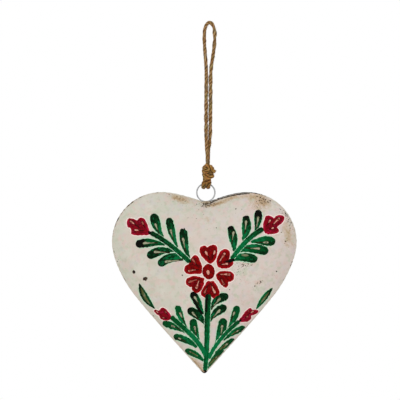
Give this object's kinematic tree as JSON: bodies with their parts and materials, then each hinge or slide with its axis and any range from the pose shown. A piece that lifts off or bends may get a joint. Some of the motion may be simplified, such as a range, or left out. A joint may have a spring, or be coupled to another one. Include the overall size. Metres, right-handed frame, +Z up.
{
  "type": "hanging heart ornament",
  "caption": "Puffy sheet-metal heart with hand-painted flowers, hung by a wire ring from a knotted loop of jute twine.",
  "frame": {"origin": "inside top of the twine loop, where the nail or hook carries the ornament", "axes": "+Z up along the twine, +X to the right seen from the front, -Y out of the painted front"},
  "size_m": [0.1198, 0.026, 0.2293],
  "materials": {
    "front_paint": "aged cream brush paint with painted flowers",
    "back_paint": "aged cream brush paint",
    "rim_solder": "painted solder bead, bare and dark in places",
    "painted_wire": "greyish white paint on steel wire",
    "braze": "mottled brown braze under thin paint",
    "jute": "rough twisted jute"
  },
  "bodies": {
    "cord": {"cord_loop": "jute"},
    "knot": {"cord_core": "jute", "cord_knot": "jute"},
    "hitch": {"cord_turn_left": "jute", "cord_turn_right": "jute"},
    "heart": {"hanging_ring": "painted_wire", "ring_braze": "braze", "rim_seam": "rim_solder", "front_shell": "front_paint", "back_shell": "back_paint"}
  },
  "joints": [
    {"name": "cord_twist", "type": "hinge", "parent": "cord", "child": "knot", "pos_m": [-0.00115, 0, -0.0905], "axis": [0, 0, 1], "range_deg": [-180, 180], "stiffness_Nm_per_rad": 0.0002, "deforming": ["cord_loop"]},
    {"name": "heart_swing", "type": "hinge", "parent": "knot", "child": "hitch", "pos_m": [-0.0024, 0, -0.1035], "axis": [1, 0, 0], "range_deg": [-105, 105], "deforming": ["cord_turn_left", "cord_turn_right"]},
    {"name": "ring_turn", "type": "hinge", "parent": "hitch", "child": "heart", "pos_m": [-0.0024, 0, -0.10937], "axis": [0, 1, 0], "range_deg": [-60, 60]}
  ]
}
